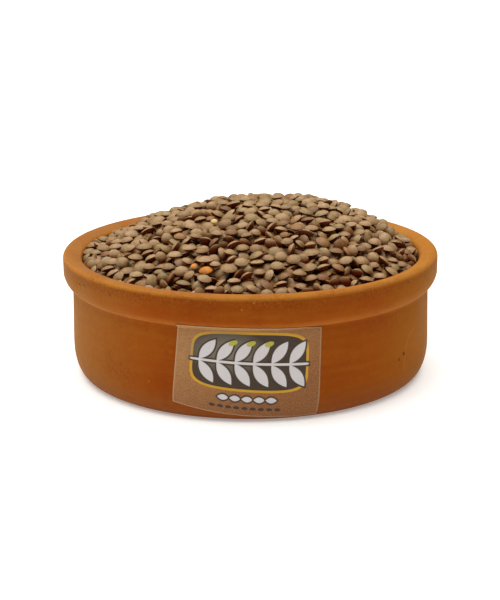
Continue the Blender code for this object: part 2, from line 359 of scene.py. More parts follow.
def dress(recipe, geometry, material, output):
    """End a tree: give the mesh its material."""
    dressed = recipe.add("GeometryNodeSetMaterial", geometry)
    recipe.feed(dressed.inputs["Material"], material)
    recipe.feed(output, dressed.outputs[0])


def grow(name, seed_mesh, tree, values):
    """Run a tree on a mesh and return the result as a new object with a plain mesh."""
    holder = bpy.data.objects.new(name + "_seed", seed_mesh)
    bpy.context.scene.collection.objects.link(holder)
    modifier = holder.modifiers.new(tree.name, "NODES")
    modifier.node_group = tree
    for socket in tree.interface.items_tree:
        if socket.in_out == "INPUT" and socket.name in values:
            modifier[socket.identifier] = values[socket.name]
    bpy.context.view_layer.update()
    grown = holder.evaluated_get(bpy.context.evaluated_depsgraph_get())
    mesh = bpy.data.meshes.new_from_object(grown)
    bpy.data.objects.remove(holder)
    mesh.name = name
    mesh.materials.clear()
    mesh.materials.append(values["Material"])
    mesh.polygons.foreach_set("material_index", np.zeros(len(mesh.polygons), dtype=np.int32))
    return put_in_scene(name, mesh)


def put_in_scene(name, mesh):
    """A mesh as an object at the origin."""
    piece = bpy.data.objects.new(name, mesh)
    bpy.context.scene.collection.objects.link(piece)
    return piece


def arc(centre, radii, start, end, steps, power=2.0):
    """Points on a superellipse arc. Angles are in degrees, 0 is outwards and 90 is up."""
    points = []
    for turn in np.radians(np.linspace(start, end, steps + 1)):
        across = math.copysign(abs(math.cos(turn)) ** (2 / power), math.cos(turn))
        upward = math.copysign(abs(math.sin(turn)) ** (2 / power), math.sin(turn))
        points.append((centre[0] + radii[0] * across, centre[1] + radii[1] * upward))
    return points


def slope_height(dish, radius):
    """Height of the rim's sloping top at this radius."""
    crown = (dish.rim_radius - dish.rim_round, dish.rim_top - dish.rim_round)
    tangent = (crown[0] - dish.rim_round * math.sin(dish.rim_slope),
               crown[1] + dish.rim_round * math.cos(dish.rim_slope))
    return tangent[1] - (tangent[0] - radius) * math.tan(dish.rim_slope)


def inner_outline(dish):
    """Radius and height from the middle of the floor up to the mouth."""
    radii = (dish.wall_foot_radius - dish.floor_radius, dish.wall_foot_height - dish.floor_height)
    bend = arc((dish.floor_radius, dish.wall_foot_height), radii, -90, 0, 8)
    mouth = (dish.mouth_radius, slope_height(dish, dish.mouth_radius) - 2 * dish.mouth_round)
    return [(0.0, dish.floor_height)] + bend + [mouth]


def outer_outline(dish):
    """Radius and height over the rim and down the outer side to the base."""
    slope = math.degrees(dish.rim_slope)
    mouth_x = dish.mouth_radius + dish.mouth_round
    mouth_z = slope_height(dish, mouth_x) - dish.mouth_round / math.cos(dish.rim_slope)
    mouth = arc((mouth_x, mouth_z), (dish.mouth_round, dish.mouth_round), 180, 90 + slope, 6)
    crown = arc((dish.rim_radius - dish.rim_round, dish.rim_top - dish.rim_round),
                (dish.rim_round, dish.rim_round), 90 + slope, 0, 12)
    cove = arc((dish.crease_radius, dish.band_foot),
               (dish.rim_radius - dish.crease_radius, dish.crease_height - dish.band_foot),
               0, 90, 12, dish.cove_power)
    step = [(dish.crease_radius - 0.35 * MM, dish.crease_height - 0.5 * MM),
            (dish.crease_radius - 0.25 * MM, dish.crease_height - 2.2 * MM)]
    knee = arc((dish.base_radius, dish.knee_height),
               (dish.knee_radius - dish.base_radius, -dish.knee_height), 0, 90, 18, dish.knee_power)
    return mouth + crown + cove + step + knee


def close_points(points, longest):
    """The same outline with no step longer than this, and no doubled points."""
    kept = [points[0]]
    for point in points[1:]:
        last = kept[-1]
        span = math.dist(point, last)
        if span < 0.02 * MM:
            continue
        count = max(1, math.ceil(span / longest))
        for step in range(1, count + 1):
            kept.append(tuple(a + (b - a) * step / count for a, b in zip(last, point)))
    return kept


def surface_radius(rows, height):
    """Radius of the dish's outer side at this height."""
    for (upper_radius, upper), (lower_radius, lower) in zip(rows, rows[1:]):
        if lower <= height <= upper and upper > lower:
            return lower_radius + (upper_radius - lower_radius) * (height - lower) / (upper - lower)
    raise ValueError("no outer side at this height")


def outline_mesh(name, outline):
    """An outline as a row of vertices in the XZ plane."""
    mesh = bpy.data.meshes.new(name)
    mesh.from_pydata([(radius, 0.0, height) for radius, height in outline], [], [])
    return mesh


def turned_tree():
    """Geometry Nodes: turn a row of points about Z, wobble it and score it with turning lines."""
    recipe, inputs, outputs = new_tree("Turned form", [
        ("Steps", "Int"), ("Wobble", "Float"), ("Lines", "Float"), ("Material", "Material")])
    size = recipe.add("GeometryNodeAttributeDomainSize", inputs["Geometry"]).outputs["Point Count"]
    columns = recipe.plus(inputs["Steps"], 1.0)
    grid = recipe.add("GeometryNodeMeshGrid", 1.0, 1.0, columns, size).outputs["Mesh"]
    index = recipe.add("GeometryNodeInputIndex").outputs[0]
    column = recipe.math("FLOOR", recipe.math("DIVIDE", recipe.plus(index, 0.5), size))
    row = recipe.minus(index, recipe.times(column, size))
    place = recipe.add("GeometryNodeInputPosition").outputs[0]
    sample = recipe.add("GeometryNodeSampleIndex", data_type="FLOAT_VECTOR")
    recipe.feed(sample.inputs["Geometry"], inputs["Geometry"])
    recipe.feed(sample.inputs["Value"], place)
    recipe.feed(sample.inputs["Index"], row)
    profile = recipe.axes(sample.outputs[0])
    turn = recipe.times(recipe.math("DIVIDE", column, inputs["Steps"]), 2 * math.pi)
    east = recipe.times(recipe.math("COSINE", turn), profile["X"])
    north = recipe.times(recipe.math("SINE", turn), profile["X"])
    spot = recipe.add("ShaderNodeCombineXYZ", east, north, profile["Z"]).outputs[0]
    turned = recipe.add("GeometryNodeSetPosition")
    recipe.feed(turned.inputs["Geometry"], grid)
    recipe.feed(turned.inputs["Position"], spot)
    faced = recipe.add("GeometryNodeFlipFaces", turned.outputs[0])
    closed = recipe.add("GeometryNodeMergeByDistance", faced.outputs[0])
    closed.inputs["Distance"].default_value = 0.002 * MM
    soft = recipe.noise(place, 14.0, 1.0)
    push = recipe.times(recipe.minus(soft, 0.5), inputs["Wobble"])
    stretched = recipe.vector("MULTIPLY", place, (30.0, 30.0, 620.0))
    score = recipe.noise(stretched, 1.0, 2.0)
    cut = recipe.times(recipe.minus(score, 0.5), inputs["Lines"])
    worn = push_out(recipe, closed.outputs[0], recipe.plus(push, cut))
    smooth = recipe.add("GeometryNodeSetShadeSmooth", store_up(recipe, worn, "POINT"))
    real = recipe.add("GeometryNodeRealizeInstances", smooth.outputs[0])
    dress(recipe, real.outputs[0], inputs["Material"], outputs[0])
    return recipe.tree


def face_outwards(piece):
    """Turn a closed mesh's faces outwards if they point in."""
    shape = bmesh.new()
    shape.from_mesh(piece.data)
    if shape.calc_volume(signed=True) < 0:
        bmesh.ops.reverse_faces(shape, faces=shape.faces)
        shape.to_mesh(piece.data)
    shape.free()


# Marks on the dish's outer side, by colour: degrees from the front to the right, height and
# reach in mm.
DISH_MARKS = {
    "clay_pit": ((54.4, 20.0, 1.15), (51.6, 18.2, 0.8)),
    "clay_grit_and_shade": ((-32.2, 38.5, 0.5), (-56.7, 52.3, 0.55), (-43.6, 51.9, 0.6), (-64.3, 51.2, 0.65),
                  (-62.2, 51.2, 0.55), (-59.8, 51.6, 0.7), (-59.0, 51.2, 0.55), (-57.3, 52.0, 0.6),
                  (-55.8, 51.9, 0.6), (-59.1, 50.0, 0.45), (51.7, 54.4, 0.55), (-61.0, 51.9, 0.4),
                  (-48.2, 19.0, 7.0), (-40.0, 16.0, 8.0)),
    "clay_dust_and_highlight": ((-31.8, 15.4, 0.5), (0.9, 54.9, 0.6), (-2.4, 51.9, 0.5)),
}

# A pale scratch on the right of the wall: degrees and height of its bends.
SCRATCH = ((60.9, 29.0), (57.4, 26.9), (56.2, 24.2), (55.2, 18.4), (54.5, 12.5))

# A mark that reaches further than this is a smudge, and shows as speckles.
SPECK_REACH = 2 * MM


def outer_rows(dish):
    """The outer outline in fine steps, to find the radius at a height."""
    return close_points(outer_outline(dish), longest=1.0 * MM)


def dish_spot(dish, degrees, height):
    """A point on the dish's outer side: degrees from the front to the right, and height in mm."""
    radius = surface_radius(outer_rows(dish), height * MM)
    turn = math.radians(degrees)
    return radius * math.sin(turn), -radius * math.cos(turn), height * MM


def dish_marks(dish):
    """Pits, specks and a smudge on the dish: where each is, how far it reaches, and its colour."""
    return [(dish_spot(dish, degrees, height), reach * MM, getattr(dish, kind))
            for kind, places in DISH_MARKS.items() for degrees, height, reach in places]


def line_distance(recipe, place, start, end):
    """Distance from the shaded place to a straight line between two points."""
    start, along = Vector(start), Vector(end) - Vector(start)
    offset = recipe.vector("SUBTRACT", place, tuple(start))
    share = recipe.vector("DOT_PRODUCT", offset, tuple(along / along.length_squared))
    share = recipe.math("MINIMUM", recipe.math("MAXIMUM", share, 0.0), 1.0)
    foot = recipe.vector("SCALE", tuple(along), None, None, share)
    return recipe.vector("DISTANCE", offset, foot)


def terracotta(dish):
    """Fired clay: blotches, streaks round the dish, sandy speckle, dust and a painted highlight
    where it faces up, painted reflections at the sides and the foot, a painted highlight over the
    crease, and painted shade under the rim's shoulder.
    """
    material, shader, recipe = new_material("fired_clay", 0.74, 0.04)
    shader.inputs["Sheen Weight"].default_value = 0.07
    shader.inputs["Sheen Roughness"].default_value = 0.35
    shader.inputs["Sheen Tint"].default_value = (1.0, 0.74, 0.42, 1.0)
    times, spread, noise = recipe.times, recipe.spread, recipe.noise
    place = recipe.coordinates("Object")
    right, _, height = recipe.axes(place)
    up = recipe.attribute("up")
    turned = recipe.vector("MULTIPLY", place, (18.0, 18.0, 260.0))
    blotch = spread(noise(place, 22.0, 3.0, 0.55), 0.38, 0.64)
    streak = spread(noise(turned, 1.0, 3.0, 0.6), 0.42, 0.75)
    dust = spread(noise(place, 75.0, 4.0, 0.62), 0.40, 0.72)
    sand = noise(place, 1400.0, 2.0, 0.6)
    fleck = spread(noise(place, 420.0, 3.0, 0.7), 0.36, 0.64)
    patch = spread(noise(place, 60.0, 3.0, 0.6), 0.40, 0.66, 0.05, 0.42)
    crease = dish.crease_height
    # Painted highlight on a narrow band just over the crease.
    painted_crease_highlight = times(spread(height, crease + 0.8 * MM, crease + 3.4 * MM, 1.0, 0.0),
                spread(height, crease - 0.5 * MM, crease))
    # Pale dust and a painted highlight where the dish faces up: paler to the right, browner to the
    # left.
    top_dust_and_highlight = recipe.mix(spread(right, 30 * MM, -70 * MM), dish.clay_dust_and_highlight, dish.clay_rose_dust_and_highlight)
    # Rubbed clay and a painted highlight on the rounded edges that face partly up.
    edge = times(spread(up, 0.04, 0.30), spread(up, 0.62, 0.94, 0.6, 0.0))
    band = times(spread(height, dish.band_foot, dish.rim_top - 2.5 * MM),
                 spread(up, 0.35, 0.75, 1.0, 0.0))
    band = times(band, spread(noise(place, 110.0, 2.0), 0.36, 0.56, 0.25, 1.0))
    # Painted shade: a darker strip under the rim's shoulder.
    painted_shoulder_shade = times(spread(height, 49.5 * MM, 54.0 * MM),
                 spread(noise(turned, 0.7, 2.0), 0.35, 0.6, 0.12, 0.34))
    layers = [
        (times(streak, 0.25), dish.clay_pale),
        (times(dust, 0.18), dish.clay_pale),
        # Painted reflections: paler at the left side, yellower at the right.
        (spread(right, -44 * MM, -84 * MM, 0.0, 0.9), dish.clay_olive_reflection),
        (spread(right, 54 * MM, 86 * MM, 0.0, 0.78), dish.clay_gold_reflection),
        # Painted reflection of the floor, paler towards the foot.
        (spread(height, 13 * MM, 1 * MM, 0.0, 0.5), dish.clay_foot_reflection),
        (times(painted_crease_highlight, 0.5), dish.clay_crease_highlight),
        (times(spread(up, 0.04, 0.62), spread(dust, 0.0, 1.0, 0.75, 1.0)), top_dust_and_highlight),
        (times(edge, spread(right, 50 * MM, 24 * MM, 0.15, 1.0)), dish.clay_rubbed_and_highlight),
        (times(painted_shoulder_shade, spread(up, 0.3, 0.6, 1.0, 0.0)), dish.clay_grit_and_shade),
        (times(spread(sand, 0.40, 0.50, 1.0, 0.0), recipe.plus(times(band, 0.42), 0.06)),
         dish.clay_grit_and_shade),
        (times(spread(sand, 0.60, 0.70), times(band, 0.5)), dish.clay_dust_and_highlight),
        (times(recipe.minus(1.0, fleck), patch), dish.clay_deep),
        (times(fleck, times(patch, 0.35)), dish.clay_pale),
    ]
    for spot, reach, worn in dish_marks(dish):
        share = spread(recipe.vector("DISTANCE", place, spot), 0.4 * reach, reach, 0.85, 0.0)
        if reach > SPECK_REACH:
            share = times(share, spread(sand, 0.40, 0.54, 0.3, 0.0))
        layers.append((share, worn))
    bends = [dish_spot(dish, *bend) for bend in SCRATCH]
    for start, end in zip(bends, bends[1:]):
        away = line_distance(recipe, place, start, end)
        layers.append((spread(away, 0.12 * MM, 0.42 * MM, 0.5, 0.0), dish.clay_dust_and_highlight))
    body = recipe.mix(blotch, dish.clay_deep, dish.clay)
    for share, shade in layers:
        body = recipe.mix(share, body, shade)
    recipe.feed(shader.inputs["Base Color"], body)
    recipe.feed(shader.inputs["Roughness"], spread(dust, 0.0, 1.0, 0.68, 0.82))
    grain = recipe.plus(noise(place, 900.0, 3.0, 0.6), times(noise(turned, 2.0, 2.0), 0.5))
    bump(recipe, shader, grain, 0.00025, 0.5)
    return material


class LENTILS_OT_dish(bpy.types.Operator):
    """Turn the terracotta dish."""
    bl_idname = "lentils.dish"
    bl_label = "Terracotta dish"

    def execute(self, context):
        dish = settings("lentil_dish")
        outline = inner_outline(dish) + outer_outline(dish) + [(0.0, 0.0)]
        outline = close_points(outline, longest=2.4 * MM)
        piece = grow("terracotta_dish", outline_mesh("dish_outline", outline), turned_tree(), {
            "Steps": dish.steps, "Wobble": dish.wobble, "Lines": dish.lines,
            "Material": terracotta(dish)})
        face_outwards(piece)
        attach(piece, "root")
        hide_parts("bowl")
        return {"FINISHED"}


def heap_height(heap, wall, x, y):
    """Height of the heap's surface over places in the dish, as arrays."""
    dx = x - heap.shift
    reach = np.maximum(dx * dx + y * y, 1e-12)
    along = heap.shift * dx
    root = np.sqrt(along * along - reach * (heap.shift ** 2 - wall ** 2))
    share = np.minimum(1.0, reach / (root - along))
    return heap.edge + heap.rise * (1 - share ** heap.power)


def bed_material(heap):
    """The shaded inside of the heap."""
    material, shader, recipe = new_material("heap_bed", 0.9, 0.1)
    place = recipe.coordinates("Object")
    patch = recipe.spread(recipe.noise(place, 320.0, 2.0), 0.4, 0.6)
    # Darker patches of the painted shade.
    deep = tuple(0.4 * part for part in heap.bed)
    recipe.feed(shader.inputs["Base Color"], recipe.mix(patch, deep, heap.bed))
    return material


class LENTILS_OT_bed(bpy.types.Operator):
    """Fill the dish with the bed that carries the loose lentils."""
    bl_idname = "lentils.bed"
    bl_label = "Heap's bed"

    def execute(self, context):
        dish, heap = settings("lentil_dish"), settings("lentil_heap")
        gap = 0.5 * MM
        top = heap.edge - heap.bed_depth
        inner = [(max(0.0, radius - gap), min(height + gap, top))
                 for radius, height in inner_outline(dish)]
        wall = inner[-1][0]
        outline = close_points([(0.0, top), (wall, top)] + inner[::-1], longest=4.0 * MM)
        piece = grow("lentil_bed", outline_mesh("bed_outline", outline), turned_tree(), {
            "Steps": heap.bed_steps, "Wobble": 0.0, "Lines": 0.0,
            "Material": bed_material(heap)})
        places = np.array([vertex.co for vertex in piece.data.vertices])
        upper = places[:, 2] > top - 0.01 * MM
        surface = heap_height(heap, dish.mouth_radius, places[upper, 0], places[upper, 1])
        places[upper, 2] = surface - heap.bed_depth
        piece.data.vertices.foreach_set("co", places.ravel())
        face_outwards(piece)
        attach(piece, "root")
        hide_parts("lentils")
        return {"FINISHED"}


# Kinds of lentil: share of the heap, flatness of one side, and four colours from dark to light.
KINDS = {
    "lentils_tan": (0.62, 0.0, ((139, 107, 67), (148, 115, 74), (154, 121, 81), (161, 129, 90))),
    "lentils_olive": (0.22, 0.0, ((134, 107, 64), (143, 115, 71), (150, 121, 79), (157, 130, 88))),
    # Russet lentils; the filling lentils deep in the heap take these darker colours too, as painted
    # shade.
    "lentils_russet_and_shade": (0.07, 0.0, ((118, 76, 36), (128, 86, 44), (138, 98, 54), (148, 110, 66))),
    "lentils_umber": (0.09, 0.0, ((112, 76, 42), (121, 86, 50), (129, 95, 58), (138, 104, 66))),
    "lentils_split": (0.0, 0.9, ((172, 96, 22), (190, 114, 28), (200, 132, 48), (208, 172, 112))),
}

# Where the few orange half lentils lie on the heap, right and back of its middle, in mm.
SPLIT_PLACES = ((-20.0, -61.5), (-23.6, -56.8), (-15.8, -18))

# Tone of each of them, 0 orange to 1 pale.
SPLIT_TONES = (0.35, 0.55, 1.0)

# Size of each of them, as a share of a whole lentil's.
SPLIT_SIZES = (0.9, 0.66, 0.5)

# Lentils that stand proud on the heap's skyline, right and back of its middle, in mm.
PROUD_PLACES = ((14.6, 29), (40, 23), (61, 17))

# How lentils settle: places and ways to lean that each tries, and how far it may shift.
PLACES_TRIED = 12
WAYS_TRIED = 4
SHIFT = 0.5 * MM

# Least and most lean in radians of a lentil on edge, a proud one and a split one.
UPRIGHT_LEANS = (0.7, 1.4)
PROUD_LEANS = (0.5, 1.1)
SPLIT_LEANS = (0.1, 0.3)

# How far a proud lentil may stand over the surface, and by how much a split one's limit grows.
PROUD_SLACK = 2.6 * MM
SLACK_STEP = 0.3 * MM

# Width of the belt along the wall where more lentils stand on edge.
WALL_BELT = 9 * MM

# Height of the walls of the height map, over anything in it.
OUT_OF_REACH = 10.0

# How the loose lentils' meshes are shaped: fullness of the rim, and unevenness.
EDGE_POWER = 0.78
UNEVENNESS = 0.22 * MM


def lens_heights(way, offsets, radius, half):
    """Lower and upper heights of a leaning lentil over a patch; infinite beside it."""
    flat = 1 / radius ** 2
    thin = 1 / half ** 2 - flat
    along = offsets @ way[:2]
    square = flat + thin * way[2] ** 2
    middle = thin * way[2] * along
    inside = middle ** 2 - square * (flat * np.sum(offsets ** 2, axis=1) + thin * along ** 2 - 1)
    root = np.sqrt(np.maximum(inside, 0.0))
    beside = inside <= 0
    return (np.where(beside, np.inf, (-middle - root) / square),
            np.where(beside, -np.inf, (-middle + root) / square))


def settle(heap, wall):
    """Lay lentils one by one on a height map until the heap's surface is reached.

    Each takes the deepest of a few places, and of a few ways to lean the one that lies lowest.
    A layer of filling lentils lies under them, so no hollow shows through. Returns centres, upward
    directions, radii, half thicknesses, and how many of them lie loose on the heap.
    """
    draw = np.random.default_rng(heap.seed)
    cell = heap.cell
    cells = int(2 * wall / cell) + 30
    line = (np.arange(cells) - (cells - 1) / 2) * cell
    grid_x, grid_y = np.meshgrid(line, line, indexing="ij")
    out = np.hypot(grid_x, grid_y)
    inward = np.minimum(1.0, wall / np.maximum(out, 1e-9))
    goal = heap_height(heap, wall, grid_x * inward, grid_y * inward)
    goal += heap.wall_swell * np.clip((out - wall) / (10 * MM) + 1, 0, 1) ** 2
    level = goal - heap.bed_depth
    level[out > wall] = OUT_OF_REACH
    span = int(heap.grain_radius * (1 + 3 * heap.size_spread) / cell) + 1
    patch = np.arange(-span, span + 1)
    patch_x, patch_y = (part.ravel() for part in np.meshgrid(patch, patch, indexing="ij"))
    offsets = np.stack([patch_x, patch_y], axis=1) * cell
    near = np.hypot(*offsets.T) < 0.5 * heap.grain_radius
    near_x, near_y = patch_x[near], patch_y[near]
    found = []

    def spot_of(x, y):
        return np.rint(np.stack([x, y]) / cell + (cells - 1) / 2).astype(int)

    def lay(place, least_lean, most_lean, slack):
        """Lay one lentil near a place. False if it would rise more than the slack over the heap."""
        radius = heap.grain_radius * (1 + heap.size_spread * np.clip(draw.normal(), -2.2, 2.0))
        half = heap.grain_half * (1 + 0.8 * heap.size_spread * np.clip(draw.normal(), -2, 2))
        column, row = spot_of(*place)
        slope = np.array([goal[column + 3, row] - goal[column - 3, row],
                          goal[column, row + 3] - goal[column, row - 3]]) / (6 * cell)
        chosen = None
        for _ in range(WAYS_TRIED):
            if most_lean:
                lean = draw.uniform(least_lean, most_lean)
            else:
                lean = heap.lean * abs(draw.normal())
            lean = min(lean, UPRIGHT_LEANS[1])
            toward = draw.uniform(0, 2 * math.pi)
            way = np.array([math.tan(lean) * math.cos(toward) - heap.follow * slope[0],
                            math.tan(lean) * math.sin(toward) - heap.follow * slope[1], 1.0])
            way /= np.linalg.norm(way)
            centre = place + draw.normal(0, SHIFT, 2)
            from_axis = max(np.linalg.norm(centre), 1e-9)
            sine = float(way[:2] @ centre) / from_axis
            width = math.sqrt(radius ** 2 - (radius ** 2 - half ** 2) * sine ** 2)
            here = spot_of(*(centre * min(1.0, (wall - width) / from_axis)))
            local = level[here[0] + patch_x, here[1] + patch_y]
            low, high = lens_heights(way, offsets, heap.nestle * radius, heap.nestle * half)
            touch = local - low
            rest = touch.max()
            hollow = (rest - touch[np.isfinite(low)]).mean()
            score = rest - goal[here[0], here[1]] + 0.8 * hollow
            if chosen is None or score < chosen[0]:
                chosen = (score, here, rest, way, high, local)
        _, here, rest, way, high, local = chosen
        if rest + high.max() > goal[here[0], here[1]] + slack:
            return False
        level[here[0] + patch_x, here[1] + patch_y] = np.maximum(local, rest + high)
        found.append((line[here[0]], line[here[1]], rest, *way, radius, half))
        return True

    for place in SPLIT_PLACES:
        place = np.array(place) * MM
        column, row = spot_of(*place)
        under = (column + patch_x, row + patch_y)
        level[under] = np.maximum(level[under], goal[under] - 2.1 * heap.grain_half)
        slack = heap.proud
        while not lay(place, *SPLIT_LEANS, slack):
            slack += SLACK_STEP
    misses = 0
    while len(found) < heap.most and misses < heap.patience:
        turn = draw.uniform(0, 2 * math.pi, PLACES_TRIED)
        far = (wall - 0.55 * heap.grain_radius) * np.sqrt(draw.uniform(0, 1, PLACES_TRIED))
        places = np.stack([far * np.cos(turn), far * np.sin(turn)])
        columns, rows = spot_of(*places)
        around = level[columns[:, None] + near_x, rows[:, None] + near_y]
        around = np.minimum(around, 1.0).mean(axis=1)
        best = int(np.argmax(goal[columns, rows] - around))
        share = heap.upright_wall if far[best] > wall - WALL_BELT else heap.upright
        leans = UPRIGHT_LEANS if draw.uniform() < share else (0.0, 0.0)
        misses = 0 if lay(places[:, best], *leans, heap.proud * draw.uniform()) else misses + 1
    for place in PROUD_PLACES:
        lay(np.array(place) * MM, *PROUD_LEANS, PROUD_SLACK)
    laid = len(found)
    step = heap.filler_step
    for x in np.arange(-wall, wall, step):
        for y in np.arange(-wall, wall, 0.87 * step):
            place = np.array([x, y]) + draw.normal(0, 0.15 * step, 2)
            way = np.array([*draw.normal(0, 0.45, 2), 1.0])
            if np.hypot(*place) < wall - heap.grain_radius:
                depth = goal[tuple(spot_of(*place))] - heap.filler_depth + draw.normal(0, 0.3 * MM)
                way /= np.linalg.norm(way)
                found.append((*place, depth, *way, heap.grain_radius, heap.grain_half))
    table = np.array(found)
    return table[:, :3], table[:, 3:6], table[:, 6], table[:, 7], laid


def lentil_tree():
    """Geometry Nodes: a lens of few faces on every point, made uneven, with no instances left."""
    recipe, inputs, outputs = new_tree("Scattered lentils", [
        ("Sides", "Int"), ("Rings", "Int"), ("Edge power", "Float"), ("Flat side", "Float"),
        ("Unevenness", "Float"), ("Material", "Material")])
    ball = recipe.add("GeometryNodeMeshUVSphere", inputs["Sides"], inputs["Rings"], 1.0).outputs[0]
    place = recipe.add("GeometryNodeInputPosition").outputs[0]
    parts = recipe.axes(place)
    out = recipe.math("MAXIMUM", recipe.plus(recipe.times(parts["X"], parts["X"]),
                                             recipe.times(parts["Y"], parts["Y"])), 0.0001)
    widen = recipe.math("POWER", out, -0.125)
    out = recipe.math("POWER", out, 0.75)
    thick = recipe.math("POWER", recipe.math("MAXIMUM", recipe.minus(1.0, out), 0.0),
                        inputs["Edge power"])
    side = recipe.math("SIGN", parts["Z"])
    lower = recipe.times(recipe.math("LESS_THAN", parts["Z"], 0.0), inputs["Flat side"])
    height = recipe.times(recipe.times(thick, side), recipe.minus(1.0, lower))
    lens = recipe.add("GeometryNodeSetPosition")
    recipe.feed(lens.inputs["Geometry"], ball)
    recipe.feed(lens.inputs["Position"],
                recipe.add("ShaderNodeCombineXYZ", recipe.times(parts["X"], widen),
                           recipe.times(parts["Y"], widen), height).outputs[0])
    rim = recipe.add("GeometryNodeSetShadeSmooth", domain="EDGE")
    recipe.feed(rim.inputs["Geometry"], lens.outputs[0])
    off_rim = recipe.math("ABSOLUTE", parts["Z"])
    recipe.feed(rim.inputs["Selection"], recipe.math("LESS_THAN", off_rim, 0.01))
    rim.inputs["Shade Smooth"].default_value = False
    lie = recipe.add("GeometryNodeInputNamedAttribute", "lie", data_type="QUATERNION")
    size = recipe.add("GeometryNodeInputNamedAttribute", "size", data_type="FLOAT_VECTOR")
    scatter = recipe.add("GeometryNodeInstanceOnPoints")
    recipe.feed(scatter.inputs["Points"], inputs["Geometry"])
    recipe.feed(scatter.inputs["Instance"], rim.outputs[0])
    recipe.feed(scatter.inputs["Rotation"], lie.outputs[0])
    recipe.feed(scatter.inputs["Scale"], size.outputs[0])
    real = recipe.add("GeometryNodeRealizeInstances", scatter.outputs[0])
    rough = recipe.minus(recipe.noise(place, 330.0, 1.0), 0.5)
    worn = push_out(recipe, real.outputs[0], recipe.times(rough, inputs["Unevenness"]))
    smooth = recipe.add("GeometryNodeSetShadeSmooth", worn)
    dress(recipe, store_up(recipe, smooth.outputs[0], "CORNER"), inputs["Material"], outputs[0])
    return recipe.tree


def lentil_material(name, colours):
    """A dry seed coat: one of four tones for each lentil, with mottling, a dull shine, and painted
    shade on the undersides.
    """
    material, shader, recipe = new_material(name, 0.50, 0.26)
    place = recipe.coordinates("Object")
    tone = recipe.attribute("tone")
    ramp = recipe.add("ShaderNodeValToRGB", tone)
    stops = ramp.color_ramp.elements
    while len(stops) < len(colours):
        stops.new(0.5)
    for index, shade in enumerate(colours):
        stops[index].position = index / (len(colours) - 1)
        stops[index].color = (*screen_colour(*shade), 1.0)
    mottle = recipe.spread(recipe.noise(place, 420.0, 3.0, 0.6), 0.32, 0.70, 0.76, 1.16)
    fleck = recipe.spread(recipe.noise(place, 1200.0, 2.0, 0.6), 0.30, 0.46, 0.62, 1.04)
    shade = recipe.times(mottle, fleck)
    grey = recipe.add("ShaderNodeCombineColor", shade, shade, shade).outputs[0]
    coat = recipe.mix(1.0, ramp.outputs[0], grey, "MULTIPLY")
    up = recipe.attribute("up")
    # Painted shade: the undersides are darker and redder.
    shaded = recipe.mix(1.0, coat, (0.48, 0.10, 0.01), "MULTIPLY")
    body = recipe.mix(recipe.spread(up, -0.12, 0.46), shaded, coat)
    recipe.feed(shader.inputs["Base Color"], body)
    recipe.feed(shader.inputs["Roughness"], recipe.spread(mottle, 0.8, 1.14, 0.42, 0.58))
    bump(recipe, shader, recipe.noise(place, 1600.0, 3.0, 0.6), 0.00012, 0.5)
    return material


class LENTILS_OT_grains(bpy.types.Operator):
    """Settle the loose lentils on the bed, one piece for each kind."""
    bl_idname = "lentils.grains"
    bl_label = "Loose lentils"

    def execute(self, context):
        dish, heap = settings("lentil_dish"), settings("lentil_heap")
        centres, ways, radii, halves, laid = settle(heap, dish.mouth_radius + 0.1 * MM)
        draw = np.random.default_rng(heap.seed + 1)
        shares = np.array([kind[0] for kind in KINDS.values()])
        kinds = draw.choice(len(KINDS), size=len(centres), p=shares / shares.sum())
        # Painted shade: the filling lentils deep in the gaps all take the darker russet colours.
        kinds[laid:] = list(KINDS).index("lentils_russet_and_shade")
        kinds[:len(SPLIT_PLACES)] = list(KINDS).index("lentils_split")
        spins = draw.uniform(0, 2 * math.pi, len(centres))
        ovals = draw.uniform(0.94, 1.0, len(centres))
        tones = draw.uniform(0, 1, len(centres))
        tones[:len(SPLIT_PLACES)] = SPLIT_TONES
        radii[:len(SPLIT_PLACES)] *= SPLIT_SIZES
        halves[:len(SPLIT_PLACES)] *= SPLIT_SIZES
        tree = lentil_tree()
        for number_of_kind, (name, (_, flat, colours)) in enumerate(KINDS.items()):
            mine = np.flatnonzero(kinds == number_of_kind)
            points = bpy.data.meshes.new(name + "_places")
            points.from_pydata([tuple(centres[index]) for index in mine], [], [])
            for label, kind in (("lie", "QUATERNION"), ("size", "FLOAT_VECTOR"), ("tone", "FLOAT")):
                points.attributes.new(label, kind, "POINT")
            lie, size, tone = (points.attributes[label] for label in ("lie", "size", "tone"))
            for spot, index in enumerate(mine):
                spin = Quaternion((0, 0, 1), spins[index])
                lie.data[spot].value = Vector(ways[index]).to_track_quat("Z", "Y") @ spin
                size.data[spot].vector = (radii[index], radii[index] * ovals[index], halves[index])
                tone.data[spot].value = tones[index]
            piece = grow(name, points, tree, {
                "Sides": heap.sides, "Rings": heap.rings, "Edge power": EDGE_POWER,
                "Flat side": flat, "Unevenness": UNEVENNESS,
                "Material": lentil_material(name, colours)})
            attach(piece, "root")
            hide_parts("lentils")
        return {"FINISHED"}


def between(first, last, share):
    """The number at a share of the way from the first to the last."""
    return first + (last - first) * share


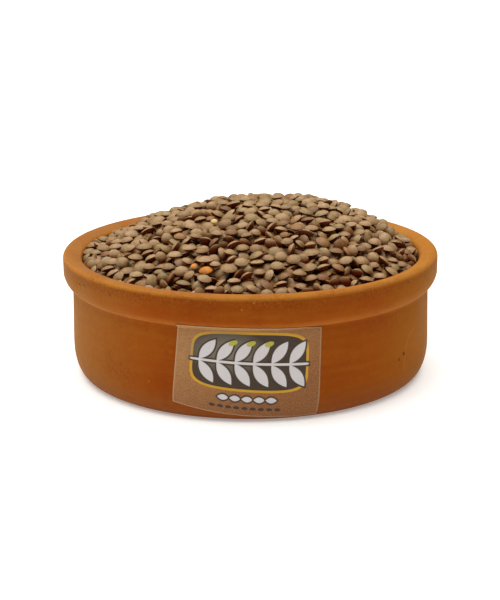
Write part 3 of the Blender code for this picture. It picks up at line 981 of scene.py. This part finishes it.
def label_place(label, rows, across, up):
    """A point of the label's back. Both arguments run from 0 to 1."""
    bulge = 4 * across * (1 - across)
    foot = between(label.left_foot[1], label.right_foot[1], across) - label.foot_bow * bulge
    head = between(label.left_top[1], label.right_top[1], across) + label.top_bow * bulge
    height = max(between(foot, head, up), 1.6 * MM)
    left = between(label.left_foot[0], label.left_top[0], up)
    right = between(label.right_foot[0], label.right_top[0], up)
    turn = math.radians(between(left, right, across))
    radius = surface_radius(rows, height)
    step = 0.6 * MM
    fall = surface_radius(rows, height - step) - surface_radius(rows, height + step)
    out = Vector((2 * step, fall)).normalized()
    wave = math.sin(9.0 * across + 5.0 * up) * math.sin(4.0 * up + 1.3)
    wave += 0.6 * math.sin(17.0 * across * up + 2.0)
    lift = label.lift + label.buckle * max(0.0, 0.5 * wave)
    radius += lift * out.x
    return Vector((radius * math.sin(turn), -radius * math.cos(turn), height + lift * out.y))


def print_mask(recipe, place, centre, half, turn, form):
    """1 inside a printed shape and 0 outside. Sizes are millimetres on the label."""
    mapped = recipe.add("ShaderNodeMapping", vector_type="TEXTURE")
    recipe.feed(mapped.inputs["Vector"], place)
    mapped.inputs["Location"].default_value = (*centre, 0.0)
    mapped.inputs["Rotation"].default_value = (0.0, 0.0, math.radians(turn))
    mapped.inputs["Scale"].default_value = (*half, 1.0)
    parts = recipe.axes(mapped.outputs[0])
    wide, tall = recipe.math("ABSOLUTE", parts["X"]), recipe.math("ABSOLUTE", parts["Y"])
    if form == "leaf":
        edge = recipe.plus(tall, recipe.times(wide, wide))
    else:
        power = {"disc": 2.0, "glow": 2.0, "plaque": 5.0, "bar": 12.0}[form]
        edge = recipe.plus(recipe.math("POWER", wide, power), recipe.math("POWER", tall, power))
    soft = 0.95 if form == "glow" else 0.12 / min(half)
    return recipe.spread(edge, 1.0 - soft, 1.0 + soft, 1.0, 0.0)


def label_print():
    """The label's generic print, from the lowest layer up: ink, form, centre, half size, turn."""
    stamps = [("gold", "plaque", (0.6, 4.6), (25.0, 13.4), 0.0),
              ("panel", "plaque", (0.6, 4.6), (23.9, 12.3), 0.0),
              ("panel_glow", "glow", (-9.0, 8.5), (13.0, 7.5), 0.0)]
    leaves = []
    for leaf in range(6):
        along = -19.5 + 7.6 * leaf
        for side in (-1, 1):
            leaves.append((along + 2.2, 4.0 + side * 5.2, side * 56.0))
    for ink, grow_by in (("panel", 0.75), ("cream", 0.0)):
        stamps.append((ink, "bar", (0.6, 4.0), (25.0 + grow_by, 0.55 + grow_by), 0.0))
        for along, up, turn in leaves:
            stamps.append((ink, "leaf", (along, up), (5.9 + 1.5 * grow_by, 2.3 + grow_by), turn))
    for bead in range(3):
        stamps.append(("pod", "disc", (-6.6 + 7.6 * bead, 12.9), (2.0, 1.1), 24.0))
    for bead in range(5):
        stamps.append(("panel", "leaf", (-9.6 + 5.0 * bead, -12.2), (3.1, 2.1), 0.0))
        stamps.append(("cream", "leaf", (-9.6 + 5.0 * bead, -12.2), (2.3, 1.3), 0.0))
    for bead in range(9):
        stamps.append(("panel", "disc", (-14.0 + 3.4 * bead, -16.6), (1.25, 0.8), 0.0))
    return stamps


def label_material(label, width, height):
    """Mottled kraft paper with a generic print: plaque, leaf garland, pods and rows of beads."""
    material, shader, recipe = new_material("printed_kraft", 0.6, 0.3)
    sheet = recipe.coordinates("UV")
    spot = recipe.vector("SUBTRACT", sheet, (0.5, 0.5, 0.0))
    spot = recipe.vector("MULTIPLY", spot, (width / MM, height / MM, 1.0))
    parts = recipe.axes(spot)
    long = recipe.vector("MULTIPLY", spot, (0.5, 2.2, 1.0))
    fibre = recipe.spread(recipe.noise(long, 0.6, 4.0, 0.65), 0.34, 0.68)
    fleck = recipe.spread(recipe.noise(spot, 1.5, 3.0, 0.7), 0.38, 0.62)
    shade = recipe.times(recipe.plus(fibre, fleck), 0.5)
    # Browner paper towards the lower right.
    browner_share = recipe.spread(recipe.minus(parts["X"], recipe.times(parts["Y"], 1.6)), -34.0, 30.0,
                         0.0, 0.95)
    paper = recipe.mix(shade, label.kraft_deep, label.kraft)
    paper = recipe.mix(recipe.times(browner_share, recipe.spread(fleck, 0.0, 1.0, 1.0, 0.45)), paper,
                       label.kraft_browner)
    rim = recipe.math("MINIMUM",
                      recipe.minus(0.5 * width / MM, recipe.math("ABSOLUTE", parts["X"])),
                      recipe.minus(0.5 * height / MM, recipe.math("ABSOLUTE", parts["Y"])))
    paper = recipe.mix(recipe.spread(rim, 0.15, 0.7, 0.5, 0.0), paper, label.kraft_edge)
    inks = {"gold": label.gold, "panel": label.panel, "panel_glow": label.panel_glow,
            "cream": label.cream, "pod": label.pod}
    for ink, form, centre, half, turn in label_print():
        paper = recipe.mix(print_mask(recipe, spot, centre, half, turn, form), paper, inks[ink])
    worn = recipe.spread(recipe.noise(spot, 2.6, 2.0), 0.30, 0.42, 0.22, 0.0)
    recipe.feed(shader.inputs["Base Color"], recipe.mix(worn, paper, label.kraft))
    bump(recipe, shader, recipe.plus(fibre, fleck), 0.00008, 0.4)
    return material


class LENTILS_OT_label(bpy.types.Operator):
    """Stick the printed paper label on the dish."""
    bl_idname = "lentils.label"
    bl_label = "Paper label"

    def execute(self, context):
        dish, label = settings("lentil_dish"), settings("lentil_label")
        rows = outer_rows(dish)
        shape = bmesh.new()
        bmesh.ops.create_grid(shape, x_segments=label.columns, y_segments=label.lines, size=0.5)
        print_map = shape.loops.layers.uv.new("UVMap")
        for face in shape.faces:
            for corner in face.loops:
                corner[print_map].uv = (corner.vert.co.x + 0.5, corner.vert.co.y + 0.5)
        for vertex in shape.verts:
            vertex.co = label_place(label, rows, vertex.co.x + 0.5, vertex.co.y + 0.5)
        shape.normal_update()
        if sum(face.normal.y for face in shape.faces) > 0:
            bmesh.ops.reverse_faces(shape, faces=shape.faces)
        mesh = bpy.data.meshes.new("paper_label")
        shape.to_mesh(mesh)
        shape.free()
        mesh.shade_smooth()
        piece = put_in_scene("paper_label", mesh)
        sheet = piece.modifiers.new("sheet", "SOLIDIFY")
        sheet.thickness = label.thickness
        sheet.offset = 1.0
        turn = math.radians(label.right_top[0] - label.left_top[0])
        width = dish.crease_radius * turn
        mesh.materials.append(label_material(label, width, label.print_height))
        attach(piece, "root")
        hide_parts("label")
        return {"FINISHED"}


def area_light(name, place, aim, size, power):
    """A soft rectangular light that faces a point."""
    lamp = bpy.data.lights.new(name, "AREA")
    lamp.shape = "RECTANGLE"
    lamp.size, lamp.size_y = size
    lamp.energy = power
    light = bpy.data.objects.new(name, lamp)
    light.location = place
    light.rotation_euler = (Vector(aim) - Vector(place)).to_track_quat("-Z", "Y").to_euler()
    bpy.context.scene.collection.objects.link(light)


# The area lights: place, width and height.
TOP_LIGHT = ((-0.2, 0.3, 2.2), (3.2, 3.4))
LEFT_LIGHT = ((-1.3, 0.2, 0.5), (0.7, 1.2))


class LENTILS_OT_stage(bpy.types.Operator):
    """Set the floor, the lights and the camera."""
    bl_idname = "lentils.stage"
    bl_label = "Studio"

    def execute(self, context):
        stage = settings("lentil_stage")
        shape = bmesh.new()
        bmesh.ops.create_grid(shape, x_segments=1, y_segments=1, size=stage.floor_half)
        mesh = bpy.data.meshes.new("studio_floor")
        shape.to_mesh(mesh)
        shape.free()
        floor = put_in_scene("studio_floor", mesh)
        material, shader, recipe = new_material("studio_floor", 0.9, 0.1)
        shader.inputs["Base Color"].default_value = (*stage.floor, 1.0)
        shader.inputs["Emission Color"].default_value = (*stage.floor, 1.0)
        shader.inputs["Emission Strength"].default_value = stage.floor_glow
        mesh.materials.append(material)
        world = bpy.data.worlds.new("studio_sky")
        world.use_nodes = True
        sky = world.node_tree.nodes["Background"].inputs
        sky["Color"].default_value = (*stage.sky_colour, 1.0)
        sky["Strength"].default_value = stage.sky
        context.scene.world = world
        aim = (0.0, 0.0, stage.aim_height)
        below = (*TOP_LIGHT[0][:2], 0.0)
        area_light("top_light", TOP_LIGHT[0], below, TOP_LIGHT[1], stage.top_light)
        area_light("left_light", LEFT_LIGHT[0], aim, LEFT_LIGHT[1], stage.side_light)
        camera = bpy.data.objects.new("camera", bpy.data.cameras.new("camera"))
        camera.data.sensor_width = SENSOR_MM
        camera.data.lens = stage.focal_pixels / VIEW_HEIGHT_PIXELS * SENSOR_MM
        camera.data.shift_x = -stage.aim_right / VIEW_HEIGHT_PIXELS
        camera.data.shift_y = stage.aim_down / VIEW_HEIGHT_PIXELS
        back = Vector((0.0, -math.cos(stage.elevation), math.sin(stage.elevation)))
        camera.location = Vector(aim) + back * stage.distance
        turn = (-back).to_track_quat("-Z", "Y") @ Quaternion((0.0, 0.0, 1.0), stage.roll)
        camera.rotation_euler = turn.to_euler()
        context.scene.collection.objects.link(camera)
        context.scene.camera = camera
        context.scene.view_settings.view_transform = "Standard"
        return {"FINISHED"}


class LENTILS_PT_panel(bpy.types.Panel):
    """Lists the operators that build the dish, the heap, the label and the studio."""
    bl_idname = "LENTILS_PT_panel"
    bl_label = "Bowl of lentils"
    bl_space_type = "VIEW_3D"
    bl_region_type = "UI"
    bl_category = "Lentils"

    def draw(self, context):
        for operator in OPERATORS:
            self.layout.operator(operator.bl_idname)


GROUPS = {
    "lentil_dish": DishSettings,
    "lentil_heap": HeapSettings,
    "lentil_label": LabelSettings,
    "lentil_stage": StageSettings,
}
OPERATORS = (LENTILS_OT_dish, LENTILS_OT_bed, LENTILS_OT_grains, LENTILS_OT_label, LENTILS_OT_stage)


def register():
    for group in (*GROUPS.values(), *OPERATORS, LENTILS_PT_panel):
        bpy.utils.register_class(group)
    for name, group in GROUPS.items():
        setattr(bpy.types.Scene, name, PointerProperty(type=group))


def unregister():
    for name in GROUPS:
        delattr(bpy.types.Scene, name)
    for group in (LENTILS_PT_panel, *reversed(OPERATORS), *reversed(tuple(GROUPS.values()))):
        bpy.utils.unregister_class(group)


def main():
    register()
    bpy.ops.lentils.dish()
    bpy.ops.lentils.bed()
    bpy.ops.lentils.grains()
    bpy.ops.lentils.label()
    bpy.ops.lentils.stage()


if __name__ == "__main__":
    main()
